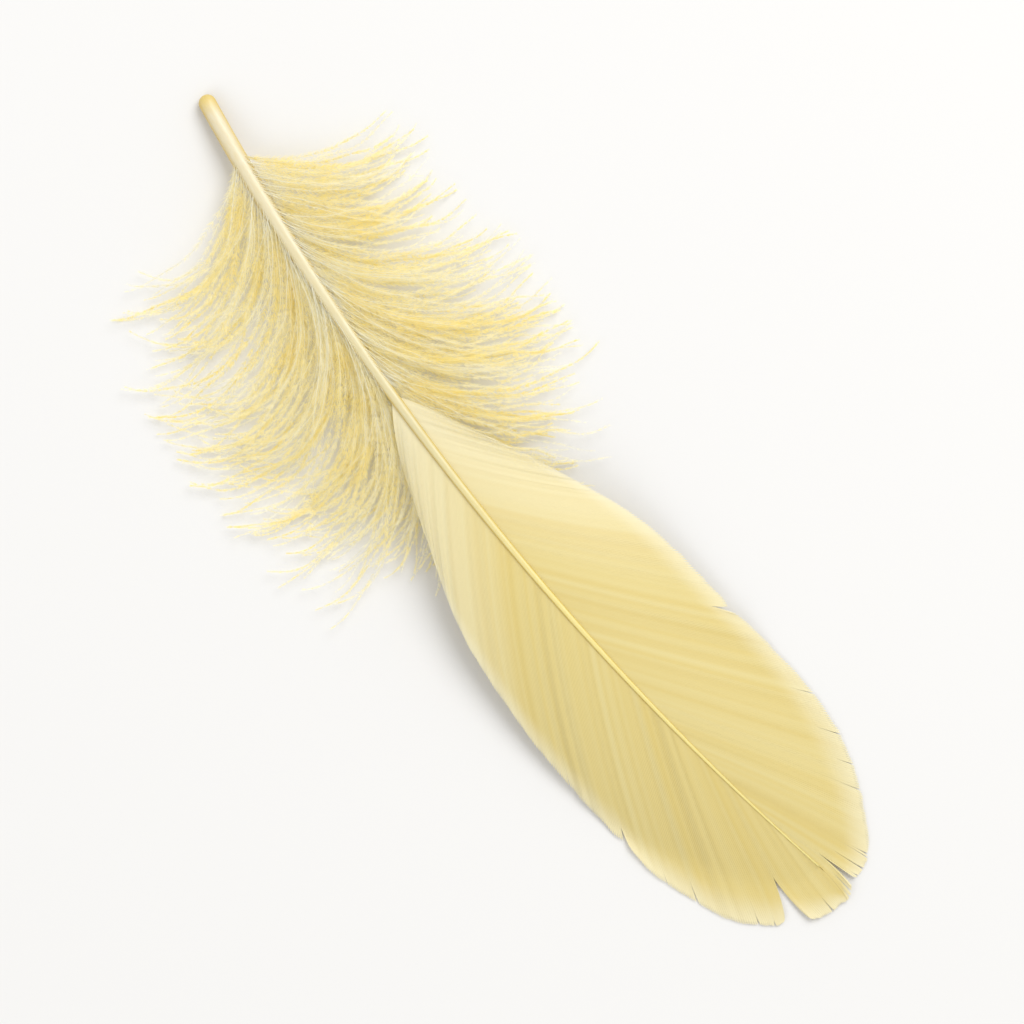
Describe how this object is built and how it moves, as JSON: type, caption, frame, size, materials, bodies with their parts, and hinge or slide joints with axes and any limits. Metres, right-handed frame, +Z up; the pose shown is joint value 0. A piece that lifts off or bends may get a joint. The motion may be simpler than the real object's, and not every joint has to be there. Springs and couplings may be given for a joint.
{
  "type": "feather",
  "caption": "Pale yellow dyed goose feather with a bare quill, soft down on its lower shaft and a broad vane split at the tip, lying flat.",
  "frame": {"origin": "centre of the footprint of the lying feather, on the surface that it lies on", "axes": "+Y along the feather from the quill's end to the tip, +X towards the narrower half of the vane, +Z up from the outer side"},
  "size_m": [0.0536, 0.1338, 0.0078],
  "materials": {
    "feather": "soft keratin barbs dyed pale yellow, with a satin sheen on the vane and the shaft"
  },
  "bodies": {
    "root": {"feather": "feather"}
  },
  "joints": []
}
